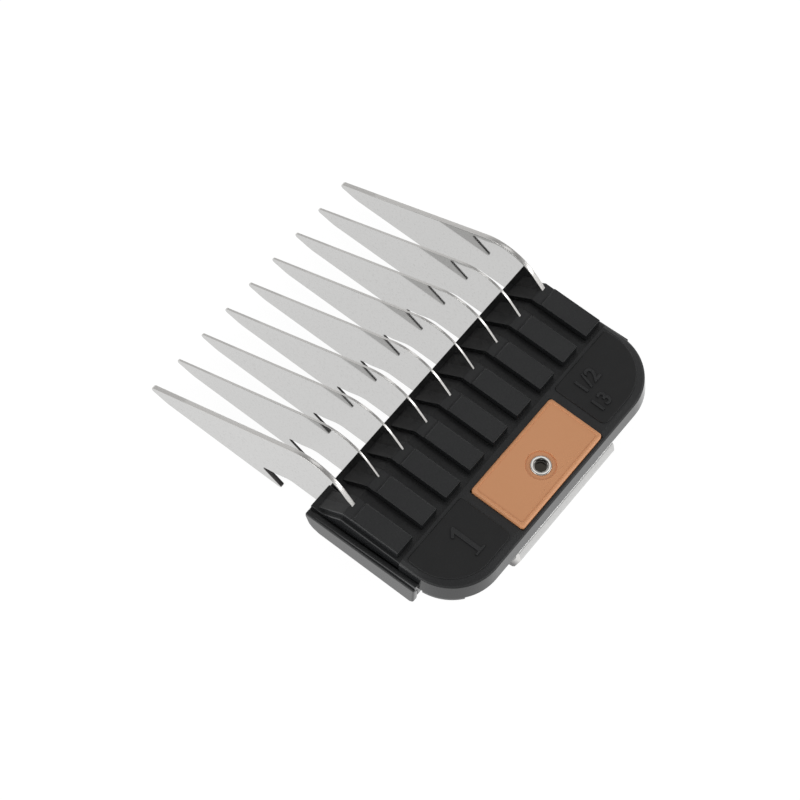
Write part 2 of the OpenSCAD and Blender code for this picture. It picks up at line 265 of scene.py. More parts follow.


# %% [markdown]
# ## Bright sheet steel
# The teeth and the latch are stamped from rolled stainless sheet. The broad faces keep the mill's bright,
# almost mirror-like roll finish with fine rolling lines and stray specks, so each tooth reflects the next.
# The sheared edges are ground and duller, and low down about the notch, away from the front of the tooth,
# their colour is darker. The function is told how far to X the broad faces look: all the way on a tooth,
# and not at all on the latch, so that one recipe gives both.

# %% Sheet steel
def sheet_steel(name, broad_range, along, face_roughness):
    finish = bpy.data.materials.new(name)
    finish.use_nodes = True
    nodes = finish.node_tree.nodes
    links = finish.node_tree.links
    nodes.clear()

    where = nodes.new("ShaderNodeTexCoord")
    where.label = "Place and direction on the sheet"
    where.location = (-1700, 0)
    in_mm = nodes.new("ShaderNodeMapping")
    in_mm.label = "Metres to millimetres"
    in_mm.location = (-1500, 0)
    facing = nodes.new("ShaderNodeSeparateXYZ")
    facing.label = "Which way a face looks"
    facing.location = (-1500, -500)
    either_way = nodes.new("ShaderNodeMath")
    either_way.label = "Either broad side"
    either_way.location = (-1300, -500)
    face_mask = nodes.new("ShaderNodeMapRange")
    face_mask.label = "Broad faces only"
    face_mask.location = (-1100, -500)

    roll_group = nodes.new("NodeFrame")
    roll_group.label = "Rolling lines"
    stretch = nodes.new("ShaderNodeMapping")
    stretch.label = "Drawn out along the roll"
    stretch.location = (-1300, 260)
    stretch.parent = roll_group
    roll_lines = nodes.new("ShaderNodeTexNoise")
    roll_lines.label = "Fine roll lines"
    roll_lines.location = (-1050, 260)
    roll_lines.parent = roll_group
    bump = nodes.new("ShaderNodeBump")
    bump.label = "Roll line relief"
    bump.location = (-450, 200)
    bump.parent = roll_group

    speck_group = nodes.new("NodeFrame")
    speck_group.label = "Specks and tarnish"
    specks = nodes.new("ShaderNodeTexNoise")
    specks.label = "Stray specks"
    specks.location = (-1050, -60)
    specks.parent = speck_group
    speck_cut = nodes.new("ShaderNodeMapRange")
    speck_cut.label = "Only the darkest specks"
    speck_cut.location = (-850, -60)
    speck_cut.parent = speck_group
    speck_colour = nodes.new("ShaderNodeMix")
    speck_colour.label = "Bright metal with specks"
    speck_colour.location = (-650, -40)
    speck_colour.parent = speck_group

    edge_group = nodes.new("NodeFrame")
    edge_group.label = "Ground edges"
    grinding = nodes.new("ShaderNodeTexNoise")
    grinding.label = "Grinding marks"
    grinding.location = (-1050, -760)
    grinding.parent = edge_group
    edge_colour = nodes.new("ShaderNodeMix")
    edge_colour.label = "Ground edge"
    edge_colour.location = (-850, -760)
    edge_colour.parent = edge_group
    height = nodes.new("ShaderNodeSeparateXYZ")
    height.label = "Height over the floor"
    height.location = (-1050, -1000)
    height.parent = edge_group
    above_notch = nodes.new("ShaderNodeMapRange")
    above_notch.label = "Edge colour above the notch"
    above_notch.location = (-850, -1000)
    above_notch.parent = edge_group
    forward = nodes.new("ShaderNodeMapRange")
    forward.label = "Edge colour in front of the notch"
    forward.location = (-850, -1250)
    forward.parent = edge_group
    either_place = nodes.new("ShaderNodeMath")
    either_place.label = "Edge colour in either place"
    either_place.location = (-650, -1100)
    either_place.parent = edge_group
    darker_low = nodes.new("ShaderNodeMix")
    darker_low.label = "Darker low down"
    darker_low.location = (-640, -760)
    darker_low.parent = edge_group
    colour = nodes.new("ShaderNodeMix")
    colour.label = "Edge or face colour"
    colour.location = (-420, -40)
    colour.parent = edge_group
    dulling = nodes.new("ShaderNodeMapRange")
    dulling.label = "Edges duller than faces"
    dulling.location = (-650, -420)
    dulling.parent = edge_group

    steel = nodes.new("ShaderNodeBsdfPrincipled")
    steel.label = "Steel"
    steel.location = (-150, 100)
    out = nodes.new("ShaderNodeOutputMaterial")
    out.label = "Surface"
    out.location = (150, 100)

    in_mm.inputs["Scale"].default_value = (1000, 1000, 1000)
    either_way.operation = "ABSOLUTE"
    face_mask.inputs["From Min"].default_value = broad_range[0]
    face_mask.inputs["From Max"].default_value = broad_range[1]
    stretch.inputs["Scale"].default_value = along
    roll_lines.inputs["Scale"].default_value = 6
    roll_lines.inputs["Detail"].default_value = 4
    bump.inputs["Strength"].default_value = 0.06
    bump.inputs["Distance"].default_value = 0.002 * MM
    specks.inputs["Scale"].default_value = 2.6
    specks.inputs["Detail"].default_value = 5
    specks.inputs["Roughness"].default_value = 0.75
    speck_cut.inputs["From Min"].default_value = 0.53
    speck_cut.inputs["From Max"].default_value = 0.95
    speck_colour.data_type = "RGBA"
    speck_colour.inputs["A"].default_value = (0.56, 0.558, 0.552, 1)
    speck_colour.inputs["B"].default_value = (0.3, 0.29, 0.28, 1)
    grinding.inputs["Scale"].default_value = 4
    grinding.inputs["Detail"].default_value = 3
    edge_colour.data_type = "RGBA"
    edge_colour.inputs["A"].default_value = (0.64, 0.625, 0.605, 1)
    edge_colour.inputs["B"].default_value = (0.75, 0.74, 0.725, 1)
    above_notch.inputs["From Min"].default_value = 2.3
    above_notch.inputs["From Max"].default_value = 5
    forward.inputs["From Min"].default_value = -13
    forward.inputs["From Max"].default_value = -22
    forward.inputs["To Max"].default_value = 0.85
    either_place.operation = "MAXIMUM"
    # Edge colour is made darker below about 2.3 to 5 mm height, except towards the front of the tooth.
    darker_low.data_type = "RGBA"
    darker_low.inputs["A"].default_value = (0.13, 0.125, 0.125, 1)
    colour.data_type = "RGBA"
    dulling.inputs["To Min"].default_value = 0.3
    dulling.inputs["To Max"].default_value = face_roughness
    steel.inputs["Metallic"].default_value = 1

    links.new(where.outputs["Object"], in_mm.inputs["Vector"])
    links.new(where.outputs["Normal"], facing.inputs["Vector"])
    links.new(facing.outputs["X"], either_way.inputs[0])
    links.new(either_way.outputs["Value"], face_mask.inputs["Value"])
    links.new(in_mm.outputs["Vector"], stretch.inputs["Vector"])
    links.new(stretch.outputs["Vector"], roll_lines.inputs["Vector"])
    links.new(roll_lines.outputs["Fac"], bump.inputs["Height"])
    links.new(bump.outputs["Normal"], steel.inputs["Normal"])
    links.new(in_mm.outputs["Vector"], specks.inputs["Vector"])
    links.new(specks.outputs["Fac"], speck_cut.inputs["Value"])
    links.new(speck_cut.outputs["Result"], speck_colour.inputs["Factor"])
    links.new(in_mm.outputs["Vector"], grinding.inputs["Vector"])
    links.new(grinding.outputs["Fac"], edge_colour.inputs["Factor"])
    links.new(face_mask.outputs["Result"], colour.inputs["Factor"])
    links.new(in_mm.outputs["Vector"], height.inputs["Vector"])
    links.new(height.outputs["Z"], above_notch.inputs["Value"])
    links.new(height.outputs["Y"], forward.inputs["Value"])
    links.new(above_notch.outputs["Result"], either_place.inputs[0])
    links.new(forward.outputs["Result"], either_place.inputs[1])
    links.new(either_place.outputs["Value"], darker_low.inputs["Factor"])
    links.new(edge_colour.outputs["Result"], darker_low.inputs["B"])
    links.new(darker_low.outputs["Result"], colour.inputs["A"])
    links.new(speck_colour.outputs["Result"], colour.inputs["B"])
    links.new(colour.outputs["Result"], steel.inputs["Base Color"])
    links.new(face_mask.outputs["Result"], dulling.inputs["Value"])
    links.new(dulling.outputs["Result"], steel.inputs["Roughness"])
    links.new(steel.outputs["BSDF"], out.inputs["Surface"])
    return finish


tooth_steel = sheet_steel("tooth_steel", (0.75, 0.97), (1, 0.12, 1), face_roughness=0.045)
latch_steel = sheet_steel("latch_steel", (0.7, 0.3), (0.08, 1, 1), face_roughness=0.16)
print("sheet steels made")


# %% [markdown]
# ## Turned and drawn steel
# The screw, its nut and the spring are turned or drawn, so their marks run round them. A wave texture
# gives rings about the object's own origin, so a Mapping node first moves the screw's axis there. Close
# to that axis, in the screw's socket and the nut's bore, the steel is painted near-black as painted shade.

# %% Turned steel
def turned_steel(name, centre, colour, roughness):
    finish = bpy.data.materials.new(name)
    finish.use_nodes = True
    nodes = finish.node_tree.nodes
    links = finish.node_tree.links
    nodes.clear()

    where = nodes.new("ShaderNodeTexCoord")
    where.label = "Place on the piece"
    where.location = (-1300, 0)
    centred = nodes.new("ShaderNodeMapping")
    centred.label = "Centred on the axis, in millimetres"
    centred.location = (-1100, 0)

    lathe_group = nodes.new("NodeFrame")
    lathe_group.label = "Lathe rings"
    rings = nodes.new("ShaderNodeTexWave")
    rings.label = "Rings left by the tool"
    rings.location = (-850, 160)
    rings.parent = lathe_group
    bump = nodes.new("ShaderNodeBump")
    bump.label = "Ring relief"
    bump.location = (-450, 120)
    bump.parent = lathe_group

    wear_group = nodes.new("NodeFrame")
    wear_group.label = "Handling wear"
    wear = nodes.new("ShaderNodeTexNoise")
    wear.label = "Patchy polish"
    wear.location = (-850, -180)
    wear.parent = wear_group
    tone = nodes.new("ShaderNodeMix")
    tone.label = "Bright to dull steel"
    tone.location = (-600, -120)
    tone.parent = wear_group
    dullness = nodes.new("ShaderNodeMapRange")
    dullness.label = "Roughness of the patches"
    dullness.location = (-600, -380)
    dullness.parent = wear_group

    # Painted shade: close to the axis, in the socket and the bore, the steel colour is painted near-black.
    socket_group = nodes.new("NodeFrame")
    socket_group.label = "Painted shade in the bore and socket"
    flat = nodes.new("ShaderNodeMapping")
    flat.label = "Seen along the axis"
    flat.location = (-1100, -700)
    flat.parent = socket_group
    from_axis = nodes.new("ShaderNodeVectorMath")
    from_axis.label = "Distance from the axis"
    from_axis.location = (-850, -700)
    from_axis.parent = socket_group
    outside = nodes.new("ShaderNodeMapRange")
    outside.label = "Outside the socket"
    outside.location = (-600, -700)
    outside.parent = socket_group
    surface = nodes.new("ShaderNodeMix")
    surface.label = "Painted shade or bright steel"
    surface.location = (-380, -200)
    surface.parent = socket_group

    steel = nodes.new("ShaderNodeBsdfPrincipled")
    steel.label = "Steel"
    steel.location = (-150, 100)
    out = nodes.new("ShaderNodeOutputMaterial")
    out.label = "Surface"
    out.location = (150, 100)

    centred.vector_type = "POINT"
    centred.inputs["Location"].default_value = (-centre[0] * 1000, -centre[1] * 1000, 0)
    centred.inputs["Scale"].default_value = (1000, 1000, 1000)
    rings.wave_type = "RINGS"
    rings.rings_direction = "Z"
    rings.inputs["Scale"].default_value = 2.2
    rings.inputs["Distortion"].default_value = 0.6
    bump.inputs["Strength"].default_value = 0.3
    bump.inputs["Distance"].default_value = 0.004 * MM
    wear.inputs["Scale"].default_value = 1.8
    wear.inputs["Detail"].default_value = 4
    tone.data_type = "RGBA"
    tone.inputs["A"].default_value = (*colour, 1)
    tone.inputs["B"].default_value = (*(value * 0.82 for value in colour), 1)
    dullness.inputs["To Min"].default_value = roughness - 0.05
    dullness.inputs["To Max"].default_value = roughness + 0.08
    flat.inputs["Scale"].default_value = (1, 1, 0)
    from_axis.operation = "LENGTH"
    outside.inputs["From Min"].default_value = 0.86
    outside.inputs["From Max"].default_value = 1.06
    surface.data_type = "RGBA"
    # Painted shade colour for the socket floor and the bore.
    surface.inputs["A"].default_value = (0.03, 0.028, 0.024, 1)
    steel.inputs["Metallic"].default_value = 1

    links.new(where.outputs["Object"], centred.inputs["Vector"])
    links.new(centred.outputs["Vector"], flat.inputs["Vector"])
    links.new(flat.outputs["Vector"], from_axis.inputs[0])
    links.new(from_axis.outputs["Value"], outside.inputs["Value"])
    links.new(outside.outputs["Result"], surface.inputs["Factor"])
    links.new(centred.outputs["Vector"], rings.inputs["Vector"])
    links.new(rings.outputs["Fac"], bump.inputs["Height"])
    links.new(bump.outputs["Normal"], steel.inputs["Normal"])
    links.new(centred.outputs["Vector"], wear.inputs["Vector"])
    links.new(wear.outputs["Fac"], tone.inputs["Factor"])
    links.new(tone.outputs["Result"], surface.inputs["B"])
    links.new(surface.outputs["Result"], steel.inputs["Base Color"])
    links.new(wear.outputs["Fac"], dullness.inputs["Value"])
    links.new(dullness.outputs["Result"], steel.inputs["Roughness"])
    links.new(steel.outputs["BSDF"], out.inputs["Surface"])
    return finish


screw_low, screw_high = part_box("tag_screw")
screw_axis = ((screw_low.x + screw_high.x) / 2, (screw_low.y + screw_high.y) / 2)
screw_steel = turned_steel("screw_steel", screw_axis, (0.66, 0.645, 0.61), roughness=0.16)
nut_steel = turned_steel("nut_steel", screw_axis, (0.58, 0.575, 0.56), roughness=0.26)
spring_steel = turned_steel("spring_steel", (0, 0), (0.5, 0.5, 0.49), roughness=0.24)
print("turned steels made, screw axis in mm:", [round(value / MM, 2) for value in screw_axis])

# %% [markdown]
# ## The steel teeth
# Each tooth is one stamping: a long low ramp that lifts the hair, a crown that rides on the skin, a barbed
# notch that catches the blade's cutting edge, and a tail inside the plastic. The CAD solid already has the
# outline, so a merged copy only needs its rims broken, as a tumbled stamping has them.

# %% Teeth
TOOTH_COUNT = 9


def is_rim(edge):
    looks = sorted(abs(face.normal.x) for face in edge.link_faces)
    return len(looks) == 2 and looks[0] < 0.3 and looks[1] > 0.9


for number in range(1, TOOTH_COUNT + 1):
    tooth = copy_of_node(f"tooth_{number}")
    broken = 0.11 if number in (1, TOOTH_COUNT) else 0.07
    round_edges(tooth, [edge for edge in tooth.edges if is_rim(edge)], broken, segments=3)
    finish_piece(f"steel_tooth_{number}", tooth, tooth_steel, [f"tooth_{number}"])

# %% [markdown]
# ## The front deck
# The teeth stand in a thick cross bar. Its front is a low wall, then a ramp climbs to a flat floor that the
# tooth ribs stand on, and behind it a shallow channel runs across. The outline is one polygon in the
# y-z plane. Below, the outline steps up behind the bar to leave the room for the blade and the latch.

# %% Front deck
body_low, body_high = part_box("body")
SEAT = 5.05
CEILING = 7.45
FRONT = body_low.y / MM
FRONT_TOP = 7.65
FLOOR = 10.35
CHANNEL_END = 18.05
BAR_END = 6.8
DECK_HALF = 24.2

deck = prism([(FRONT, SEAT), (FRONT, FRONT_TOP), (4.2, FRONT_TOP), (7.4, FLOOR), (CHANNEL_END + 0.3, FLOOR),
              (CHANNEL_END + 0.3, CEILING), (BAR_END, CEILING), (BAR_END, SEAT)], -DECK_HALF, DECK_HALF)
in_front = [edge for edge in deck.edges if min(vert.co.y for vert in edge.verts) < CHANNEL_END]
round_edges(deck, [edge for edge in in_front if sharp(edge)], 0.14, segments=3)
finish_piece("front_deck", deck, black_plastic, ["body"])

# %% [markdown]
# ## The tooth ribs
# A rib stands on each side of every tooth and grips its tail. From the front it climbs as a ramp, steps
# once, and ends as a flat plateau before the channel. All nine ribs are the same, so one shape is made
# for each tooth. A low rim runs round the plateau, where the two halves of the mould met.

# %% Ribs
RIB_PITCH = 5.5
RIB_HALF = 1.725
RIB_TOP = 11.85
RIB_STEP = 0.25
RIB_FRONT = 3.05
RIB_REAR = 17.3
RIB_RAMP_END = 7.7
RIB_OUTLINE = [(RIB_FRONT, FRONT_TOP - 0.3), (RIB_FRONT, FRONT_TOP + 0.1),
               (RIB_RAMP_END - RIB_STEP, RIB_TOP - RIB_STEP), (RIB_RAMP_END + 1.2, RIB_TOP - RIB_STEP),
               (RIB_RAMP_END + 1.4, RIB_TOP), (RIB_REAR, RIB_TOP), (RIB_REAR, FLOOR - 0.1),
               (7.4, FLOOR - 0.1), (4.2, FRONT_TOP - 0.3)]
for number in range(1, TOOTH_COUNT + 1):
    middle = RIB_PITCH * ((TOOTH_COUNT + 1) / 2 - number)
    rib = prism(RIB_OUTLINE, middle - RIB_HALF, middle + RIB_HALF)
    round_edges(rib, [edge for edge in rib.edges if sharp(edge, 12)], 0.12, segments=3)
    rib.normal_update()
    plateau = [face for face in rib.faces
               if face.normal.z > 0.99 and face.calc_center_median().z > RIB_TOP - NEAR]
    bmesh.ops.inset_region(rib, faces=plateau, thickness=0.15, depth=-0.07)
    finish_piece(f"tooth_rib_{number}", rib, black_plastic, ["body"])

# %% [markdown]
# ## The rear block
# Behind the channel the body is a block with round rear corners. It is wider at its foot than at its top.
# A grid of one face is the foot, two rounded corners are vertex bevels, and each further level is an
# extrusion whose two sides are moved in, which keeps the corner radius. Four bisecting planes then mark
# out a pocket for the tag in the top, and the pocket is pushed down.

# %% Rear block
REAR_FOOT = [24.5, 29.4]
REAR_LEVELS = [(10.3, 24.3, 29.08), (10.5, 24.12, 28.86), (10.8, 23.55, 28.05)]
CORNER_RADIUS = 8
TAG_LOW, TAG_HIGH = (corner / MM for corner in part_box("size_tag"))
POCKET_GAP = 0.12
POCKET_SLACK = 0.02
POCKET_CORNER = 0.6

block = bmesh.new()
bmesh.ops.create_grid(block, x_segments=1, y_segments=1, size=1)
for vert in block.verts:
    vert.co = (vert.co.x * REAR_FOOT[0], CHANNEL_END if vert.co.y < 0 else REAR_FOOT[1], CEILING)
rear_corners = [vert for vert in block.verts if vert.co.y > CHANNEL_END + 1]
bmesh.ops.bevel(block, geom=rear_corners, offset=CORNER_RADIUS, offset_type="OFFSET", segments=20,
                profile=0.5, affect="VERTICES", clamp_overlap=True, material=-1)
top = block.faces[:]
half_now, rear_now, level_now = REAR_FOOT[0], REAR_FOOT[1], CEILING
for level, half, rear in REAR_LEVELS:
    grown = bmesh.ops.extrude_face_region(block, geom=top)["geom"]
    if level_now > CEILING:
        bmesh.ops.delete(block, geom=top, context="FACES_ONLY")
    moved = verts_of(grown)
    top = [item for item in grown if isinstance(item, bmesh.types.BMFace)]
    bmesh.ops.translate(block, vec=(0, 0, level - level_now), verts=moved)
    for side in (-1, 1):
        on_side = [vert for vert in moved if vert.co.x * side > 0]
        bmesh.ops.translate(block, vec=(side * (half - half_now), 0, 0), verts=on_side)
    at_rear = [vert for vert in moved if vert.co.y > CHANNEL_END + 1]
    bmesh.ops.translate(block, vec=(0, rear - rear_now, 0), verts=at_rear)
    half_now, rear_now, level_now = half, rear, level
bmesh.ops.recalc_face_normals(block, faces=block.faces)
print("rear block levels:", len(REAR_LEVELS), "faces:", len(block.faces))

# %% Rear block pocket and edges
def cut_plane(bm, point, normal):
    bmesh.ops.bisect_plane(bm, geom=bm.verts[:] + bm.edges[:] + bm.faces[:], dist=0.0001,
                           plane_co=point, plane_no=normal)


cut_plane(block, (TAG_LOW.x - POCKET_GAP, 0, 0), (1, 0, 0))
cut_plane(block, (TAG_HIGH.x + POCKET_GAP, 0, 0), (1, 0, 0))
cut_plane(block, (0, TAG_LOW.y - POCKET_GAP, 0), (0, 1, 0))
cut_plane(block, (0, TAG_HIGH.y + POCKET_GAP, 0), (0, 1, 0))


def over_tag(face):
    centre = face.calc_center_median()
    inside_x = TAG_LOW.x - POCKET_GAP < centre.x < TAG_HIGH.x + POCKET_GAP
    inside_y = TAG_LOW.y - POCKET_GAP < centre.y < TAG_HIGH.y + POCKET_GAP
    return inside_x and inside_y and centre.z > 9.5 and face.normal.z > 0.3


pocket = [face for face in block.faces if over_tag(face)]
grown = bmesh.ops.extrude_face_region(block, geom=pocket)["geom"]
bmesh.ops.delete(block, geom=pocket, context="FACES")
for vert in verts_of(grown):
    vert.co.z = TAG_LOW.z - POCKET_SLACK
bmesh.ops.dissolve_limit(block, angle_limit=math.radians(0.5), verts=block.verts, edges=block.edges)


def pocket_corner(edge):
    first, second = (vert.co for vert in edge.verts)
    upright = abs(first.z - second.z) > 0.3 and abs(abs(first.x) - TAG_HIGH.x - POCKET_GAP) < 0.02
    return upright and TAG_LOW.y - 0.3 < first.y < TAG_HIGH.y + 0.3


round_edges(block, [edge for edge in block.edges if pocket_corner(edge)], POCKET_CORNER, segments=6)


def outer_rim(edge):
    pocket_side = all(abs(vert.co.x) < TAG_HIGH.x + 0.2 and vert.co.z < 10.7 for vert in edge.verts)
    return sharp(edge, 14) and not pocket_side and edge.verts[0].co.z > 8


round_edges(block, [edge for edge in block.edges if outer_rim(edge)], 0.1, segments=3)
finish_piece("rear_block", block, black_plastic, ["body"])

# %% [markdown]
# ## Raised panels
# On each side of the tag a flat panel stands a little over the block, with soft edges that catch a thin
# line of light. A panel is one square face: its corners get different radii, then it is drawn up.

# %% Raised panels
PANEL_TOP = 10.98
PANEL_FOOT = REAR_LEVELS[-1][0] - 0.2
PANEL_INNER = 10.95
PANEL_OUTER = 23.35
PANEL_FRONT = 18.55
PANEL_REAR = 27.8
PANEL_CORNERS = [(7.1, PANEL_OUTER, PANEL_REAR), (1.1, PANEL_INNER, PANEL_REAR),
                 (0.5, PANEL_INNER, PANEL_FRONT), (0.5, PANEL_OUTER, PANEL_FRONT)]
for side_name, side in (("right", 1), ("left", -1)):
    panel = bmesh.new()
    bmesh.ops.create_grid(panel, x_segments=1, y_segments=1, size=1)
    for vert in panel.verts:
        across = PANEL_OUTER if vert.co.x * side > 0 else PANEL_INNER
        vert.co = (side * across, PANEL_REAR if vert.co.y > 0 else PANEL_FRONT, PANEL_FOOT)
    for radius, corner_x, corner_y in PANEL_CORNERS:
        corner = [vert for vert in panel.verts
                  if abs(abs(vert.co.x) - corner_x) < NEAR and abs(vert.co.y - corner_y) < NEAR]
        bmesh.ops.bevel(panel, geom=corner, offset=radius, offset_type="OFFSET", segments=18, profile=0.5,
                        affect="VERTICES", clamp_overlap=True, material=-1)
    grown = bmesh.ops.extrude_face_region(panel, geom=panel.faces[:])["geom"]
    bmesh.ops.translate(panel, vec=(0, 0, PANEL_TOP - PANEL_FOOT), verts=verts_of(grown))
    bmesh.ops.recalc_face_normals(panel, faces=panel.faces)
    rim = [edge for edge in panel.edges
           if sharp(edge, 60) and all(vert.co.z > PANEL_TOP - NEAR for vert in edge.verts)]
    round_edges(panel, rim, 0.15, segments=3)
    finish_piece(f"panel_{side_name}", panel, panel_plastic, ["body"])

# %% [markdown]
# ## Side rails
# A rail down each side keeps the blade from sliding sideways. It is an outer wall, a slightly higher and
# thinner inner wall, and a ledge that joins it to the deck and rests on the blade. Both sides mirror each
# other, so one loop makes the three prisms for each side.

# %% Side rails
RAIL_INNER = 24.4
RAIL_OUTER = body_high.x / MM
RAIL_REAR = 21.7
RAIL_FOOT = 3.55
GUTTER = 7.0
WALL_OUTLINE = [(FRONT, 7.2), (FRONT, 6.4), (2.67, 4.75), (3.4, 4), (4.6, RAIL_FOOT),
                (RAIL_REAR - 0.5, RAIL_FOOT), (RAIL_REAR, RAIL_FOOT + 0.5), (RAIL_REAR, 7.9),
                (FRONT + 1, 7.3)]
LIP_OUTLINE = [(FRONT + 1, 6.5), (FRONT + 1, 7.3), (RAIL_REAR, 8.9), (RAIL_REAR, 7)]
LEDGE_OUTLINE = [(FRONT, SEAT), (FRONT, GUTTER), (RAIL_REAR, GUTTER + 0.6), (RAIL_REAR, SEAT)]
RAIL_ROUND = {"wall": 0.28, "lip": 0.16, "ledge": 0.09}
for side_name, side in (("right", 1), ("left", -1)):
    for part_name, outline, inner, outer in (("wall", WALL_OUTLINE, RAIL_INNER, RAIL_OUTER),
                                             ("lip", LIP_OUTLINE, RAIL_INNER, RAIL_OUTER - 0.3),
                                             ("ledge", LEDGE_OUTLINE, 21.2, RAIL_INNER + 0.1)):
        rail = prism(outline, *sorted((side * inner, side * outer)))
        round_edges(rail, [edge for edge in rail.edges if sharp(edge)], RAIL_ROUND[part_name], segments=4)
        finish_piece(f"rail_{part_name}_{side_name}", rail, black_plastic, ["body"])

# %% [markdown]
# ## Corner skirts and the spring post
# Under each round corner a low wall hangs down beside the blade. A small rectangle spun about the
# corner's centre gives it. The post behind the spring is a block with a short nub that keeps the
# spring in line.

# %% Corner skirts and spring post
SKIRT_RADII = (6.75, 7.95)
SKIRT_ANGLES = (7, 52)
SKIRT_FOOT = 6.85
corner_centre = (REAR_FOOT[0] - CORNER_RADIUS, REAR_FOOT[1] - CORNER_RADIUS)
for side_name, side in (("right", 1), ("left", -1)):
    skirt = bmesh.new()
    section = [skirt.verts.new((radius, 0, z)) for radius, z in (
        (SKIRT_RADII[0], SKIRT_FOOT), (SKIRT_RADII[1], SKIRT_FOOT), (SKIRT_RADII[1], CEILING + 0.05),
        (SKIRT_RADII[0], CEILING + 0.05))]
    start = skirt.faces.new(section)
    bmesh.ops.rotate(skirt, cent=(0, 0, 0), matrix=Matrix.Rotation(math.radians(SKIRT_ANGLES[0]), 3, "Z"),
                     verts=skirt.verts)
    bmesh.ops.spin(skirt, geom=[start, *start.edges, *start.verts], cent=(0, 0, 0), axis=(0, 0, 1),
                   angle=math.radians(SKIRT_ANGLES[1] - SKIRT_ANGLES[0]), steps=14)
    if not any(set(face.verts) == set(section) for face in skirt.faces):
        skirt.faces.new(section)
    bmesh.ops.translate(skirt, vec=(*corner_centre, 0), verts=skirt.verts)
    bmesh.ops.scale(skirt, vec=(side, 1, 1), verts=skirt.verts)
    bmesh.ops.recalc_face_normals(skirt, faces=skirt.faces)
    finish_piece(f"corner_skirt_{side_name}", skirt, black_plastic, ["body"])

spring_low, spring_high = (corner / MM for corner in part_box("latch_spring"))
spring_centre = (spring_low + spring_high) / 2
POST_FRONT, POST_REAR, POST_FOOT, POST_HALF = 16, 17.4, 5.9, 1.4
NUB_RADIUS = 0.6
NUB_LENGTH = 1.5
post = prism([(POST_FRONT, POST_FOOT), (POST_FRONT, CEILING + 0.1), (POST_REAR, CEILING + 0.1),
              (POST_REAR, POST_FOOT)], -POST_HALF, POST_HALF)
round_edges(post, [edge for edge in post.edges if sharp(edge)], 0.15, segments=2)
finish_piece("spring_post", post, black_plastic, ["body"])
nub = bmesh.new()
bmesh.ops.create_cone(nub, cap_ends=True, segments=32, radius1=NUB_RADIUS, radius2=NUB_RADIUS,
                      depth=NUB_LENGTH)
bmesh.ops.rotate(nub, cent=(0, 0, 0), matrix=Matrix.Rotation(math.radians(90), 3, "X"), verts=nub.verts)
bmesh.ops.translate(nub, vec=(0, 15.35, spring_centre.z), verts=nub.verts)
round_edges(nub, [edge for edge in nub.edges if sharp(edge, 60)], 0.15, segments=2)
finish_piece("spring_nub", nub, black_plastic, ["body"])

# %% [markdown]
# ## The size tag
# The tag is a small plate with soft corners, dished round the screw. Its outline starts as one square
# face with bevelled corners. The walls are edge extrusions, and so is the soft rim with its fine ridge,
# which steps up and inwards. `triangle_fill` closes the ring between the rim and the round recess.

# %% Size tag
TAG_CORNER = 0.55
TAG_RIM = [(0.17, 0.08), (0.12, 0.15), (0.05, 0.17), (0, 0.1), (-0.12, 0.08)]
TAG_FACE = TAG_HIGH.z - 0.12
RECESS_RADIUS = 2.28
RECESS_FLOOR = TAG_HIGH.z - 0.36
HOLE_RADIUS = 1.1
screw_y = screw_axis[1] / MM


def raise_edges(bm, edges, lift):
    grown = bmesh.ops.extrude_edge_only(bm, edges=edges)["geom"]
    moved = verts_of(grown)
    bmesh.ops.translate(bm, vec=(0, 0, lift), verts=moved)
    return [item for item in grown if isinstance(item, bmesh.types.BMEdge)
            and all(vert in moved for vert in item.verts)], moved


def ring_of(bm, radius, z, segments):
    made = bmesh.ops.create_circle(bm, segments=segments, radius=radius)["verts"]
    bmesh.ops.translate(bm, vec=(0, screw_y, z), verts=made)
    return list({edge for vert in made for edge in vert.link_edges})


tag = bmesh.new()
bmesh.ops.create_grid(tag, x_segments=1, y_segments=1, size=1)
for vert in tag.verts:
    vert.co = (TAG_HIGH.x if vert.co.x > 0 else TAG_LOW.x, TAG_HIGH.y if vert.co.y > 0 else TAG_LOW.y,
               TAG_LOW.z)
bmesh.ops.bevel(tag, geom=tag.verts[:], offset=TAG_CORNER, offset_type="OFFSET", segments=8, profile=0.5,
                affect="VERTICES", clamp_overlap=True, material=-1)
outline = tag.edges[:]
bmesh.ops.delete(tag, geom=tag.faces[:], context="FACES_ONLY")
hole = ring_of(tag, HOLE_RADIUS, TAG_LOW.z, 64)
bmesh.ops.triangle_fill(tag, use_beauty=True, use_dissolve=False, edges=outline + hole, normal=(0, 0, -1))
tag_middle = (TAG_LOW.y + TAG_HIGH.y) / 2
wall_top, _ = raise_edges(tag, outline, TAG_HIGH.z - TAG_LOW.z - 0.34)
for lift, inward in TAG_RIM:
    wall_top, rim_verts = raise_edges(tag, wall_top, lift)
    for vert in rim_verts:
        vert.co.x -= math.copysign(inward, vert.co.x)
        vert.co.y -= math.copysign(inward, vert.co.y - tag_middle)
hole_top, _ = raise_edges(tag, hole, RECESS_FLOOR - TAG_LOW.z)
step, step_verts = raise_edges(tag, hole_top, 0)
bmesh.ops.scale(tag, vec=(RECESS_RADIUS / HOLE_RADIUS,) * 2 + (1,),
                space=Matrix.Translation((0, -screw_y, 0)), verts=step_verts)
rim, _ = raise_edges(tag, step, TAG_FACE - RECESS_FLOOR)
bmesh.ops.triangle_fill(tag, use_beauty=True, use_dissolve=False, edges=wall_top + rim, normal=(0, 0, 1))
bmesh.ops.recalc_face_normals(tag, faces=tag.faces)
round_edges(tag, rim, 0.08, segments=2)
finish_piece("size_tag_plate", tag, copper_plastic, ["size_tag"])

# %% [markdown]
# ## Raised size marks
# Generic numerals are moulded on the rear panels, with their feet towards the latch. The large one is an
# outline drawn up from the panel. The small ones are text objects turned to mesh first, then laid flat,
# raised and tied to the body.

